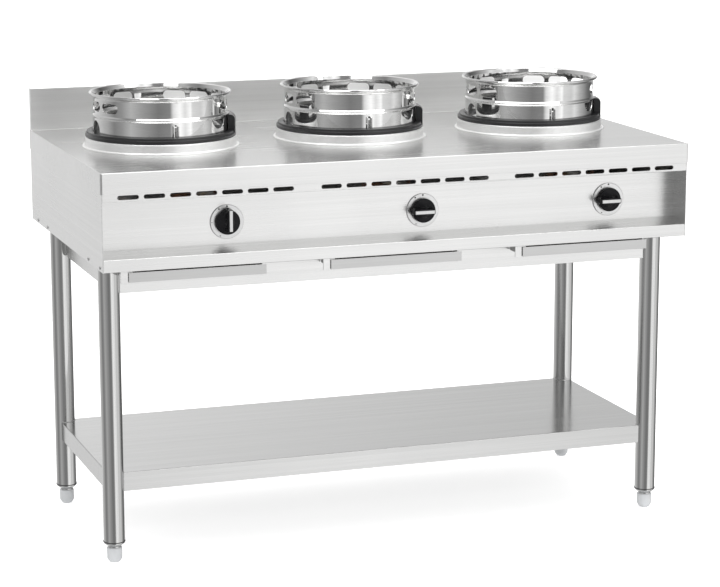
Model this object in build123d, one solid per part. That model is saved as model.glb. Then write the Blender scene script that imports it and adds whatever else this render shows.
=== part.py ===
from build123d import *
import math
import os

# Three-burner wok range on a tubular stand. All sizes are in millimetres.
# X runs to the right along the front, Y runs from the front to the back and
# Z is up. The origin is on the floor, below the middle of the worktop.

# ---------------------------------------------------------------- overall
WIDTH = 1300.0
DEPTH = 700.0
WORKTOP_Z = 840.0
SHEET = 1.5
TOUCH = 0.3              # running clearance between pieces that move apart

# ---------------------------------------------------------------- worktop
TOP_SHEET = 2.0
APRON_HEIGHT = 43.0
CORNER_RADIUS = 4.0
TOP_EDGE_RADIUS = 1.8
SPLASH_HEIGHT = 95.0
SPLASH_DEPTH = 15.0

# ---------------------------------------------------------------- body
BODY_HEIGHT = 203.0      # from the worktop's surface down to the body's underside
RECESS_TOP = 60.0        # from the worktop's surface to the top of the front recess
RECESS_BOTTOM = 177.0    # from the worktop's surface to the lip of the front recess
RECESS_DEPTH = 58.0
LEDGE_RISE = 9.0
PANEL_LAP = 11.0         # how far the control panel reaches below the ledge
FLANGE = 16.0
FOLD_RADIUS = 2.0
SERVICE_GAP = 40.0       # the back panel is set in, for the gas connection

# ---------------------------------------------------------------- vent slots
SLOT_WIDTH = 44.0
SLOT_HEIGHT = 9.0
SLOT_PITCH = 54.4
SLOTS_PER_GROUP = 7
SLOT_DROP = 51.0         # from the worktop's surface to the slots' centre line

# ---------------------------------------------------------------- stand
LEG_RADIUS = 22.5
LEG_WALL = 1.5
LEG_INSET_SIDE = 37.0
LEG_INSET_FRONT = 104.0
LEG_INSET_BACK = 132.0
LEG_PLATE_SIDE = 48.0
LEG_PLATE_THICK = 3.0
WELD_GAP = 0.1
RAIL_HEIGHT = 62.0
RAIL_FLANGE = 12.0
RAIL_INSIDE_LEG = 7.0    # side rails lie this far inside the legs' axes
RAIL_OUTSIDE_LEG = 10.0  # front and back rails lie this far outside them
SHELF_Z = 193.0
SHELF_FLANGE = 40.0
SHELF_OUT_SIDE = 12.0    # from the legs' axes out to the shelf's side flanges
SHELF_OUT_FRONT = 8.0
STIFFENER_WIDTH = 100.0
STIFFENER_HEIGHT = 22.0
STIFFENER_END_GAP = 85.0 # from the shelf's ends to the stiffener's ends

# ---------------------------------------------------------------- feet
LEG_BOTTOM_Z = 46.0
SEAL_THICK = 1.5
SEAL_PROUD = 0.8
COLLAR_BOTTOM_Z = 33.0
COLLAR_NECK_RADIUS = 14.5
PLUG_LENGTH = 30.0
FOOT_RADIUS = 16.0
FOOT_PAD_RADIUS = 10.0
STUD_RADIUS = 8.0
STUD_LENGTH = 46.0

# ---------------------------------------------------------------- burner stations
BURNER_COUNT = 3
BURNER_INSET = 220.0     # from the worktop's ends to the outer burners' axes
BURNER_Y = 15.0
TOP_HOLE_RADIUS = 118.0
BASE_RADIUS = 163.0
BASE_HEIGHT = 22.0
BASE_HOLE_RADIUS = 122.0
BASE_FOOT = 6.0
SEAT_RADIUS = 162.0
SEAT_HEIGHT = 12.0
SEAT_SHOULDER = 6.0      # height of the ledge that the wok ring stands on
SEAT_HOLE_RADIUS = 130.0
LUG_HEIGHT = 33.0
LUG_ARC = 30.0
LUG_ANGLE = -10.0
RING_RADIUS = 145.0
RING_WALL = 1.5
RING_HEIGHT = 90.0
RIM_RADIUS = 153.0
RIM_ROLL = 3.0
BEAD_HEIGHT = 41.0       # from the ring's lower edge to the bead's middle
BEAD_PROUD = 2.5
BEAD_HALF = 4.5
HOLE_WIDTH = 50.0
HOLE_HEIGHT = 21.0
HOLE_Z = 62.0            # above the ring's lower edge
HOLE_STEP = 24.0
HOLE_BLANK_ANGLE = 87.0  # the blank place at the back, between the two rows of holes
HOLE_COUNT_RIGHT = 5
HOLE_COUNT_LEFT = 5
ARCH_WIDTH = 44.0
ARCH_HEIGHT = 32.0
ARCH_ANGLES = (184.0, 64.0)
MOON_WIDTH = 48.0
MOON_DEPTH = 20.0
MOON_ANGLE = 315.0
SEAM_ANGLE = 268.0
SEAM_WIDTH = 4.0
SEAM_HEIGHT = 30.0

# ---------------------------------------------------------------- burners
HEAD_RADIUS = 85.0
HEAD_WALL = 5.0
HEAD_SHOULDER = 14.0     # height of the chamber's sloping shoulder
HEAD_BOTTOM_DROP = 57.0  # below the worktop's surface
HEAD_TOP_RISE = 8.0      # above the worktop's surface
THROAT_RADIUS = 60.0
CAP_RADIUS = 70.0
CAP_HEIGHT = 14.0
CAP_SLOPE = 22.0         # width of the cap's sloping edge
CAP_PORTS = 24
PORT_WIDTH = 5.0
TUBE_RADIUS = 24.0
TUBE_WALL = 4.0
TUBE_DROP = 30.0         # mixing tube's axis below the worktop's surface
TUBE_LENGTH = 150.0      # from the burner's axis forwards
STAND_HALF = 140.0
STAND_WIDTH = 40.0
STAND_THICK = 3.0
PILOT_SIDE = 12.0
PILOT_HEIGHT = 48.0
PROBE_RADIUS = 2.5
PROBE_HEIGHT = 50.0
PROBE_HOLDER = 10.0      # side and height of the holder
PROBE_HOLDER_RISE = 12.0

# ---------------------------------------------------------------- gas line
KNOB_OFFSET = 58.0       # each knob stands right of its burner's axis
KNOB_DROP = 122.0        # below the worktop's surface
VALVE_WIDTH = 32.0
VALVE_HEIGHT = 34.0
VALVE_DEPTH = 48.0
MANIFOLD_RADIUS = 11.0
MANIFOLD_WALL = 2.0
MANIFOLD_SETBACK = 31.0  # its axis behind the control panel's back face
INLET_RADIUS = 10.5
INLET_WALL = 2.5
INLET_INSET = 50.0       # from the worktop's right end to the inlet's axis
INLET_CLEARANCE = 1.0
ELBOW_SIDE = 30.0
INLET_SHORT = 5.0        # the nipple ends this far inside the worktop's back edge
LOCKNUT_RADIUS = 15.0
LOCKNUT_THICK = 6.0
FEED_RADIUS = 4.0
FEED_BEND = 12.0
FEED_RUN = 34.0

# ---------------------------------------------------------------- knobs
DIAL_RADIUS = 36.0
DIAL_THICK = 3.0
PANEL_HOLE_RADIUS = 6.5
SPINDLE_RADIUS = 4.0
SPINDLE_IN_VALVE = 24.0
SPINDLE_IN_KNOB = 12.0
PUSH_TRAVEL = 4.0
KNOB_RADIUS = 25.8
KNOB_BASE_THICK = 5.0
KNOB_STANDOFF = 4.5      # from the dial plate to the knob, more than its push travel
GRIP_WIDTH = 13.0
GRIP_DEPTH = 21.0
GRIP_TAIL = 24.5         # from the knob's axis to the grip's blunt end
GRIP_NOSE = 28.5         # from the knob's axis to the grip's pointing end
BAR_WIDTH = 7.0
BAR_THICK = 3.0
BAR_PROUD = 0.8
BAR_TAIL = 16.0
BAR_END_MARGIN = 1.0
POINTER_WIDTH = 7.0
POINTER_REACH = 3.5
KNOB_REST_ANGLES = (0.0, 90.0, 90.0)   # anticlockwise from off, seen from the front

# ---------------------------------------------------------------- drip trays
TRAY_OFFSET = -20.0      # tray's middle from its burner's axis
TRAY_WIDTH = 270.0
TRAY_DEPTH = 445.0
TRAY_WALL_HEIGHT = 17.0
LIP_WIDTH = 290.0
LIP_HEIGHT = 20.0
LIP_GAP = 2.0            # below the body's underside
RUNNER_GAP = 1.0
RUNNER_FLANGE = 12.0
RUNNER_TAB = 25.0
PAN_OPENING_WIDTH = 240.0
PAN_OPENING_DEPTH = 250.0

# ---------------------------------------------------------------- screws
SCREW_RADIUS = 4.0
SCREW_HEAD = 1.8
SCREW_RISE = 7.0
SCREW_YS = (-322.0, -218.0, 182.0, 282.0)

# ---------------------------------------------------------------- derived places
FRONT_Y = -DEPTH / 2
BACK_Y = DEPTH / 2
APRON_Z = WORKTOP_Z - APRON_HEIGHT
UNDERTOP_Z = WORKTOP_Z - TOP_SHEET
BODY_Z = WORKTOP_Z - BODY_HEIGHT
SIDE_X = WIDTH / 2 - TOP_SHEET
INNER_X = SIDE_X - SHEET
FACE_Y = FRONT_Y + TOP_SHEET
RETURN_Y = FACE_Y + FLANGE + TOP_SHEET
PANEL_Y = FACE_Y + RECESS_DEPTH
PANEL_BACK_Y = PANEL_Y + SHEET
BACK_PANEL_Y = BACK_Y - SERVICE_GAP
RECESS_TOP_Z = WORKTOP_Z - RECESS_TOP
RECESS_LIP_Z = WORKTOP_Z - RECESS_BOTTOM
PAN_Z = BODY_Z + SHEET
PAN_X = INNER_X - FLANGE

BURNER_PITCH = (WIDTH - 2 * BURNER_INSET) / (BURNER_COUNT - 1)
BURNER_XS = [BURNER_PITCH * (i - (BURNER_COUNT - 1) / 2) for i in range(BURNER_COUNT)]
KNOB_XS = [x + KNOB_OFFSET for x in BURNER_XS]
TRAY_XS = [x + TRAY_OFFSET for x in BURNER_XS]
KNOB_Z = WORKTOP_Z - KNOB_DROP

LEG_X = WIDTH / 2 - LEG_INSET_SIDE
LEG_FRONT_Y = FRONT_Y + LEG_INSET_FRONT
LEG_BACK_Y = BACK_Y - LEG_INSET_BACK
LEG_PLACES = {
    "front_left": (-LEG_X, LEG_FRONT_Y),
    "front_right": (LEG_X, LEG_FRONT_Y),
    "back_left": (-LEG_X, LEG_BACK_Y),
    "back_right": (LEG_X, LEG_BACK_Y),
}
LEG_TOP_Z = BODY_Z - LEG_PLATE_THICK

SEAT_Z = WORKTOP_Z + BASE_HEIGHT
SHOULDER_Z = SEAT_Z + SEAT_SHOULDER
RING_Z = SHOULDER_Z + TOUCH
HEAD_Z = WORKTOP_Z - HEAD_BOTTOM_DROP
HEAD_TOP_Z = WORKTOP_Z + HEAD_TOP_RISE
TUBE_Z = WORKTOP_Z - TUBE_DROP

INLET_X = WIDTH / 2 - INLET_INSET
MANIFOLD_Y = PANEL_BACK_Y + MANIFOLD_SETBACK
MANIFOLD_Z = KNOB_Z - VALVE_HEIGHT / 2 - MANIFOLD_RADIUS
VALVE_BACK_Y = PANEL_BACK_Y + VALVE_DEPTH
INLET_END_Y = BACK_Y - INLET_SHORT
KNOB_BACK_Y = PANEL_Y - DIAL_THICK - KNOB_STANDOFF
KNOB_FACE_Y = KNOB_BACK_Y - KNOB_BASE_THICK
GRIP_FACE_Y = KNOB_FACE_Y - GRIP_DEPTH

TRAY_Z = BODY_Z - LIP_GAP - LIP_HEIGHT + TOUCH
RUNNER_Z = TRAY_Z - TOUCH - SHEET
RUNNER_X = TRAY_WIDTH / 2 + RUNNER_GAP


# ---------------------------------------------------------------- shape helpers
def slab(x0, x1, y0, y1, z0, z1):
    """A block between two corners."""
    middle = ((x0 + x1) / 2, (y0 + y1) / 2, (z0 + z1) / 2)
    return Pos(*middle) * Box(abs(x1 - x0), abs(y1 - y0), abs(z1 - z0))


def post(x, y, z0, z1, radius):
    """An upright cylinder."""
    return Pos(x, y, (z0 + z1) / 2) * Cylinder(radius, z1 - z0)


def bar_y(x, z, y0, y1, radius):
    """A cylinder that lies along Y."""
    return Pos(x, (y0 + y1) / 2, z) * Rot(90, 0, 0) * Cylinder(radius, y1 - y0)


def bar_x(y, z, x0, x1, radius):
    """A cylinder that lies along X."""
    return Pos((x0 + x1) / 2, y, z) * Rot(0, 90, 0) * Cylinder(radius, x1 - x0)


def outline(corners):
    """A face from (u, v, fillet) corners."""
    points = [(u, v) for u, v, _ in corners]
    radii = [r for _, _, r in corners]
    return make_face(FilletPolyline(*points, radius=radii, close=True))


def lathe(corners, arc=360.0, turn=0.0):
    """A turned piece about Z from (radius, height, fillet) corners."""
    solid = revolve(Plane.XZ * outline(corners), Axis.Z, revolution_arc=arc)
    return Rot(0, 0, turn - arc / 2) * solid if arc < 360.0 else solid


def folded_x(corners, x0, x1):
    """A folded sheet along X from (y, z, fillet) corners."""
    return extrude(Plane.YZ.offset(x0) * outline(corners), x1 - x0)


def slot_y(x, z, y0, y1, width, height):
    """A round-ended slot's body that runs along Y."""
    plane = Plane(origin=(x, y1, z), x_dir=(1, 0, 0), z_dir=(0, -1, 0))
    return extrude(plane * SlotOverall(width, height), y1 - y0)


def write(name, *solids):
    """Write one piece, or one group of like pieces, to its file."""
    shape = solids[0] if len(solids) == 1 else Compound(children=list(solids))
    shape.label = name
    export_step(shape, f"parts/{name}.step")


# ---------------------------------------------------------------- body pieces
def worktop():
    """Folded top with an apron all round and one hole for each burner."""
    top = slab(-WIDTH / 2, WIDTH / 2, FRONT_Y, BACK_Y, APRON_Z, WORKTOP_Z)
    top = fillet(top.edges().filter_by(Axis.Z), CORNER_RADIUS)
    top = fillet(top.faces().sort_by(Axis.Z)[-1].edges(), TOP_EDGE_RADIUS)
    top -= slab(-SIDE_X, SIDE_X, FACE_Y, BACK_Y - TOP_SHEET, APRON_Z, UNDERTOP_Z)
    for x in BURNER_XS:
        top -= post(x, BURNER_Y, UNDERTOP_Z - 1, WORKTOP_Z + 1, TOP_HOLE_RADIUS)
    return top


def backsplash():
    """Hollow upstand along the worktop's back edge."""
    end_x = WIDTH / 2 - TOP_EDGE_RADIUS
    back_y = BACK_Y - TOP_EDGE_RADIUS
    top_z = WORKTOP_Z + SPLASH_HEIGHT
    shell = slab(-end_x, end_x, back_y - SPLASH_DEPTH, back_y, WORKTOP_Z, top_z)
    shell = fillet(shell.faces().sort_by(Axis.Z)[-1].edges(), TOP_EDGE_RADIUS)
    shell -= slab(-end_x + SHEET, end_x - SHEET, back_y - SPLASH_DEPTH + SHEET,
                  back_y - SHEET, WORKTOP_Z, top_z - SHEET)
    return shell


def side_panel(side):
    """Side sheet with a flange along its bottom and its back edge."""
    outer, inner, tip = side * SIDE_X, side * INNER_X, side * PAN_X
    panel = slab(outer, inner, FACE_Y, BACK_Y - TOP_SHEET, BODY_Z, UNDERTOP_Z)
    panel += slab(inner, tip, RETURN_Y, BACK_Y - TOP_SHEET, BODY_Z, PAN_Z)
    panel += slab(inner, tip, BACK_Y - TOP_SHEET - SHEET, BACK_Y - TOP_SHEET,
                  PAN_Z, UNDERTOP_Z)
    return panel


def back_panel():
    """Back sheet, set in for the gas connection."""
    panel = slab(-INNER_X, INNER_X, BACK_PANEL_Y - SHEET, BACK_PANEL_Y, PAN_Z, UNDERTOP_Z)
    return panel - bar_y(INLET_X, MANIFOLD_Z, BACK_PANEL_Y - SHEET - 1, BACK_PANEL_Y + 1,
                         INLET_RADIUS + INLET_CLEARANCE)


def vent_rail():
    """Upper front rail with a group of slots over each burner's place."""
    inner_y = FACE_Y + SHEET
    rail = folded_x([
        (FACE_Y, UNDERTOP_Z, 0),
        (FACE_Y, RECESS_TOP_Z, FOLD_RADIUS),
        (PANEL_BACK_Y, RECESS_TOP_Z, 0),
        (PANEL_BACK_Y, RECESS_TOP_Z + SHEET, 0),
        (inner_y, RECESS_TOP_Z + SHEET, FOLD_RADIUS / 4),
        (inner_y, UNDERTOP_Z, 0),
    ], -INNER_X, INNER_X)
    for group_x in BURNER_XS:
        for i in range(SLOTS_PER_GROUP):
            x = group_x + SLOT_PITCH * (i - (SLOTS_PER_GROUP - 1) / 2)
            rail -= slot_y(x, WORKTOP_Z - SLOT_DROP, FACE_Y - 1, inner_y + 1,
                           SLOT_WIDTH, SLOT_HEIGHT)
    return rail


def control_panel():
    """Upright sheet at the back of the recess, with a hole for each spindle."""
    panel = slab(-INNER_X, INNER_X, PANEL_Y, PANEL_BACK_Y,
                 RECESS_LIP_Z + LEDGE_RISE - PANEL_LAP, RECESS_TOP_Z)
    for x in KNOB_XS:
        panel -= bar_y(x, KNOB_Z, PANEL_Y - 1, PANEL_BACK_Y + 1, PANEL_HOLE_RADIUS)
    return panel


def front_rail():
    """Lower front rail: face, sloping ledge above it and flange below it."""
    inner_y = FACE_Y + SHEET
    return folded_x([
        (FACE_Y, BODY_Z, FOLD_RADIUS),
        (FACE_Y, RECESS_LIP_Z, FOLD_RADIUS),
        (PANEL_Y, RECESS_LIP_Z + LEDGE_RISE, 0),
        (PANEL_Y, RECESS_LIP_Z + LEDGE_RISE - SHEET, 0),
        (inner_y, RECESS_LIP_Z - SHEET, FOLD_RADIUS / 4),
        (inner_y, PAN_Z, FOLD_RADIUS / 4),
        (RETURN_Y, PAN_Z, 0),
        (RETURN_Y, BODY_Z, 0),
    ], -INNER_X, INNER_X)


def base_pan():
    """Floor of the body, open above each drip tray."""
    pan = slab(-PAN_X, PAN_X, RETURN_Y, BACK_PANEL_Y, BODY_Z, PAN_Z)
    for x in TRAY_XS:
        pan -= slab(x - PAN_OPENING_WIDTH / 2, x + PAN_OPENING_WIDTH / 2,
                    BURNER_Y - PAN_OPENING_DEPTH / 2, BURNER_Y + PAN_OPENING_DEPTH / 2,
                    BODY_Z - 1, PAN_Z + 1)
    return pan


def side_screws():
    """Screw heads along the lower edge of both side panels."""
    heads = []
    for side in (-1, 1):
        for y in SCREW_YS:
            head = Pos(side * (SIDE_X + SCREW_HEAD / 2), y, BODY_Z + SCREW_RISE)
            heads.append(head * Rot(0, 90, 0) * Cylinder(SCREW_RADIUS, SCREW_HEAD))
    return heads


# ---------------------------------------------------------------- stand pieces
def leg_cutters(z0, z1):
    """Cylinders that clear the four legs."""
    return [post(x, y, z0, z1, LEG_RADIUS + WELD_GAP) for x, y in LEG_PLACES.values()]


def leg_rails():
    """Four folded rails between the legs, below the body."""
    x = LEG_X - RAIL_INSIDE_LEG
    y0 = LEG_FRONT_Y - RAIL_OUTSIDE_LEG
    y1 = LEG_BACK_Y + RAIL_OUTSIDE_LEG
    z = BODY_Z - RAIL_HEIGHT
    frame = slab(-x, x, y0, y1, z, BODY_Z)
    frame -= slab(-x + SHEET, x - SHEET, y0 + SHEET, y1 - SHEET, z + SHEET, BODY_Z)
    frame -= slab(-x + RAIL_FLANGE, x - RAIL_FLANGE, y0 + RAIL_FLANGE, y1 - RAIL_FLANGE,
                  z, BODY_Z)
    for tray_x in TRAY_XS:
        half = RUNNER_X + SHEET + RUNNER_GAP
        frame -= slab(tray_x - half, tray_x + half, y0 - 1, y0 + SHEET + 1,
                      RUNNER_Z - RUNNER_GAP, BODY_Z)
    plate = LEG_PLATE_SIDE / 2 + WELD_GAP
    for leg_x, leg_y in LEG_PLACES.values():
        frame -= slab(leg_x - plate, leg_x + plate, leg_y - plate, leg_y + plate,
                      LEG_TOP_Z, BODY_Z)
    for cutter in leg_cutters(z - 1, BODY_Z + 1):
        frame -= cutter
    return list(frame.solids())


def leg(x, y):
    """Round stand tube."""
    tube = post(x, y, LEG_BOTTOM_Z, LEG_TOP_Z, LEG_RADIUS)
    return tube - post(x, y, LEG_BOTTOM_Z, LEG_TOP_Z, LEG_RADIUS - LEG_WALL)


def leg_plates():
    """Square plates that join the legs to the body's floor."""
    half = LEG_PLATE_SIDE / 2
    return [slab(x - half, x + half, y - half, y + half, LEG_TOP_Z, BODY_Z)
            for x, y in LEG_PLACES.values()]


def undershelf():
    """Lower shelf with a flange all round, cut to fit between the legs."""
    x = LEG_X + SHELF_OUT_SIDE
    y0 = LEG_FRONT_Y - SHELF_OUT_FRONT
    y1 = LEG_BACK_Y + SHELF_OUT_FRONT
    z = SHELF_Z - SHELF_FLANGE
    shelf = slab(-x, x, y0, y1, z, SHELF_Z)
    shelf = fillet(shelf.faces().sort_by(Axis.Z)[-1].edges(), FOLD_RADIUS)
    shelf -= slab(-x + SHEET, x - SHEET, y0 + SHEET, y1 - SHEET, z, SHELF_Z - SHEET)
    for cutter in leg_cutters(z - 1, SHELF_Z + 1):
        shelf -= cutter
    return shelf


def shelf_stiffener():
    """Hat-shaped channel below the middle of the shelf."""
    middle_y = (LEG_FRONT_Y + LEG_BACK_Y) / 2
    top_z = SHELF_Z - SHEET
    low_z = top_z - STIFFENER_HEIGHT
    half = STIFFENER_WIDTH / 2
    web = half - FLANGE
    reach = LEG_X + SHELF_OUT_SIDE - STIFFENER_END_GAP
    return folded_x([
        (middle_y - half, top_z, 0),
        (middle_y - half, top_z - SHEET, 0),
        (middle_y - web - SHEET, top_z - SHEET, 0),
        (middle_y - web - SHEET, low_z, FOLD_RADIUS),
        (middle_y + web + SHEET, low_z, FOLD_RADIUS),
        (middle_y + web + SHEET, top_z - SHEET, 0),
        (middle_y + half, top_z - SHEET, 0),
        (middle_y + half, top_z, 0),
        (middle_y + web, top_z, 0),
        (middle_y + web, low_z + SHEET, 0),
        (middle_y - web, low_z + SHEET, 0),
        (middle_y - web, top_z, 0),
    ], -reach, reach)


# ---------------------------------------------------------------- foot pieces
def foot_seal(x, y):
    """Dark ring between a leg's end and its collar."""
    z = LEG_BOTTOM_Z - SEAL_THICK
    ring = post(x, y, z, LEG_BOTTOM_Z, LEG_RADIUS + SEAL_PROUD)
    return ring - post(x, y, z, LEG_BOTTOM_Z, LEG_RADIUS - LEG_WALL)


def foot_collar(x, y):
    """Flared collar with a plug inside the leg and a bore for the foot's stud."""
    bore = STUD_RADIUS + TOUCH
    plug = LEG_RADIUS - LEG_WALL - WELD_GAP
    top = LEG_BOTTOM_Z - SEAL_THICK
    return Pos(x, y, 0) * lathe([
        (bore, COLLAR_BOTTOM_Z, 0),
        (COLLAR_NECK_RADIUS, COLLAR_BOTTOM_Z, 0),
        (COLLAR_NECK_RADIUS, COLLAR_BOTTOM_Z + 2, 1.5),
        (LEG_RADIUS, top - 2.5, 1.5),
        (LEG_RADIUS, top, 0),
        (plug, top, 0),
        (plug, LEG_BOTTOM_Z + PLUG_LENGTH, 1.0),
        (bore, LEG_BOTTOM_Z + PLUG_LENGTH, 0),
    ])


def foot(x, y):
    """Rounded foot with the stud that sets its height."""
    top = COLLAR_BOTTOM_Z - TOUCH
    return Pos(x, y, 0) * lathe([
        (0, 0, 0),
        (FOOT_PAD_RADIUS, 0, 4.0),
        (FOOT_RADIUS, 8.0, 6.0),
        (FOOT_RADIUS, top - 2.0, 1.5),
        (FOOT_RADIUS - 2.0, top, 0.5),
        (STUD_RADIUS, top, 0),
        (STUD_RADIUS, top + STUD_LENGTH, 1.0),
        (0, top + STUD_LENGTH, 0),
    ])


# ---------------------------------------------------------------- burner station pieces
def burner_base():
    """Raised round collar on the worktop."""
    z, h, r, hole = WORKTOP_Z, BASE_HEIGHT, BASE_RADIUS, BASE_HOLE_RADIUS
    t = TOP_SHEET
    return lathe([
        (r + BASE_FOOT, z, 0),
        (r + BASE_FOOT, z + t, t / 4),
        (r, z + t, BASE_FOOT / 2),
        (r, z + h, 2 * t),
        (hole, z + h, t),
        (hole, z + 2 * t, 0),
        (hole + t, z + 2 * t, 0),
        (hole + t, z + h - t, t / 2),
        (r - t, z + h - t, t),
        (r - t, z, 0),
    ])


def ring_seat():
    """Dark stepped ring that the wok ring stands in, with its locating lug."""
    z, r, top = SEAT_Z, SEAT_RADIUS, SEAT_Z + SEAT_HEIGHT
    guide = RING_RADIUS + 1.0
    seat = lathe([
        (SEAT_HOLE_RADIUS, z, 0),
        (r, z, 0.5),
        (r, z + 6.5, 1.5),
        (r - 3.0, z + 7.5, 0.5),
        (r - 3.0, top, 1.5),
        (guide, top, 0.8),
        (guide, SHOULDER_Z, 0),
        (SEAT_HOLE_RADIUS, SHOULDER_Z, 1.0),
    ])
    lug = lathe([
        (guide + 1.0, top - 2.0, 0),
        (r - 0.5, z + 3.0, 0),
        (r - 0.5, top + LUG_HEIGHT, 10.0),
        (guide + 1.0, top + LUG_HEIGHT, 2.0),
    ], LUG_ARC, LUG_ANGLE)
    return seat + lug


def radial_slot(angle, z, width, height):
    """A round-ended slot's body that runs out along a radius."""
    plane = Plane(origin=(RING_RADIUS - 15, 0, z), x_dir=(0, 1, 0), z_dir=(1, 0, 0))
    return Rot(0, 0, angle) * extrude(plane * SlotOverall(width, height), 30)


def radial_block(angle, width, z0, z1):
    """A block that cuts the ring's wall at an angle."""
    reach = 15.0
    block = slab(RING_RADIUS - reach, RING_RADIUS + reach, -width / 2, width / 2, z0, z1)
    return Rot(0, 0, angle) * block


def wok_ring():
    """Sheet ring with a bead, a flared rolled rim and air holes."""
    z, r, t = RING_Z, RING_RADIUS, RING_WALL
    bead = z + BEAD_HEIGHT
    top = z + RING_HEIGHT
    neck = top - 10.0
    ring = lathe([
        (r, z, 0),
        (r, bead - BEAD_HALF, 1.5),
        (r + BEAD_PROUD, bead, 2.0),
        (r - 1.0, bead + BEAD_HALF, 1.5),
        (r - 1.0, neck, 3.0),
        (RIM_RADIUS - 0.5, top - 5.0, 1.0),
        (RIM_RADIUS, top - RIM_ROLL, 1.0),
        (RIM_RADIUS - 2.0, top, 1.0),
        (RIM_RADIUS - 6.0, top - 1.5, 1.5),
        (r - 1.0 - t, neck + 1.0, 2.0),
        (r - 1.0 - t, bead + BEAD_HALF + 1.0, 1.0),
        (r - t + BEAD_PROUD, bead, 1.0),
        (r - t, bead - BEAD_HALF - 1.0, 1.0),
        (r - t, z, 0),
    ])
    for side, count in ((-1, HOLE_COUNT_RIGHT), (1, HOLE_COUNT_LEFT)):
        for k in range(1, count + 1):
            angle = HOLE_BLANK_ANGLE + side * k * HOLE_STEP
            ring -= radial_slot(angle, z + HOLE_Z, HOLE_WIDTH, HOLE_HEIGHT)
    for angle in ARCH_ANGLES:
        round_top = z + ARCH_HEIGHT - ARCH_WIDTH / 2
        ring -= radial_slot(angle, round_top, ARCH_WIDTH + 0.01, ARCH_WIDTH)
        ring -= radial_block(angle, ARCH_WIDTH, z - 1, round_top)
    moon_top = bead - BEAD_HALF - 1.0
    moon = radial_slot(MOON_ANGLE, moon_top, MOON_WIDTH, 2 * MOON_DEPTH)
    ring -= moon & radial_block(MOON_ANGLE, MOON_WIDTH, moon_top - MOON_DEPTH, moon_top)
    ring -= radial_block(SEAM_ANGLE, SEAM_WIDTH, z + 2.0, z + 2.0 + SEAM_HEIGHT)
    return ring


def burner_casting(x):
    """Cast burner: round chamber with a mixing tube towards the front."""
    head = lathe([
        (0, HEAD_Z, 0),
        (HEAD_RADIUS, HEAD_Z, 4.0),
        (HEAD_RADIUS, HEAD_TOP_Z - HEAD_SHOULDER, 6.0),
        (THROAT_RADIUS + HEAD_WALL, HEAD_TOP_Z, 2.0),
        (THROAT_RADIUS, HEAD_TOP_Z, 0),
        (THROAT_RADIUS, HEAD_TOP_Z - HEAD_WALL, 0),
        (HEAD_RADIUS - HEAD_WALL, HEAD_TOP_Z - HEAD_SHOULDER - HEAD_WALL, 0),
        (HEAD_RADIUS - HEAD_WALL, HEAD_Z + HEAD_WALL, 0),
        (0, HEAD_Z + HEAD_WALL, 0),
    ])
    head = Pos(x, BURNER_Y, 0) * head
    mouth_y = BURNER_Y - TUBE_LENGTH
    inside_y = BURNER_Y - HEAD_RADIUS + 2 * HEAD_WALL
    tube = bar_y(x, TUBE_Z, mouth_y, inside_y, TUBE_RADIUS)
    chamber = Pos(x, BURNER_Y, 0) * post(0, 0, HEAD_Z + HEAD_WALL, HEAD_TOP_Z - HEAD_SHOULDER - HEAD_WALL,
                                        HEAD_RADIUS - HEAD_WALL)
    bore = bar_y(x, TUBE_Z, mouth_y - 1, inside_y, TUBE_RADIUS - TUBE_WALL)
    return head + (tube - chamber) - bore


def burner_cap():
    """Cap with radial flame ports, seated on the burner's throat."""
    z = HEAD_TOP_Z
    cap = lathe([
        (0, z, 0),
        (CAP_RADIUS, z, 1.0),
        (CAP_RADIUS, z + CAP_HEIGHT - 5.0, 4.0),
        (CAP_RADIUS - CAP_SLOPE, z + CAP_HEIGHT, 6.0),
        (0, z + CAP_HEIGHT, 0),
    ])
    for i in range(CAP_PORTS):
        port = slab(CAP_RADIUS - 8.0, CAP_RADIUS + 1.0, -PORT_WIDTH / 2, PORT_WIDTH / 2,
                    z + 2.0, z + 7.0)
        cap -= Rot(0, 0, 360.0 * i / CAP_PORTS) * port
    return cap


def burner_stand(x):
    """Bent strip that carries a burner over the opening in the floor."""
    y0, y1 = BURNER_Y - STAND_WIDTH / 2, BURNER_Y + STAND_WIDTH / 2
    stand = slab(x - STAND_HALF, x + STAND_HALF, y0, y1, HEAD_Z - STAND_THICK, HEAD_Z)
    for side in (-1, 1):
        edge = x + side * STAND_HALF
        stand += slab(edge, edge - side * STAND_THICK, y0, y1, PAN_Z, HEAD_Z)
        stand += slab(edge, edge + side * FLANGE, y0, y1, PAN_Z, PAN_Z + STAND_THICK)
    return stand


def pilot_burner(x):
    """Pilot block against the right of the burner's chamber."""
    x0 = x + HEAD_RADIUS
    block = slab(x0, x0 + PILOT_SIDE, BURNER_Y - PILOT_SIDE / 2, BURNER_Y + PILOT_SIDE / 2,
                 HEAD_TOP_Z - PILOT_HEIGHT, HEAD_TOP_Z)
    return fillet(block.edges().filter_by(Axis.Z), 2.0)


def thermocouple(x):
    """Flame probe in its holder, against the left of the burner's chamber."""
    probe_x = x - HEAD_RADIUS - PROBE_HOLDER / 2
    half = PROBE_HOLDER / 2
    z0 = HEAD_TOP_Z - PROBE_HEIGHT
    z1 = z0 + PROBE_HOLDER_RISE
    holder = slab(probe_x - half, probe_x + half, BURNER_Y - half, BURNER_Y + half,
                  z1, z1 + PROBE_HOLDER)
    return holder + post(probe_x, BURNER_Y, z0, z0 + PROBE_HEIGHT + 4.0, PROBE_RADIUS)


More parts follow.
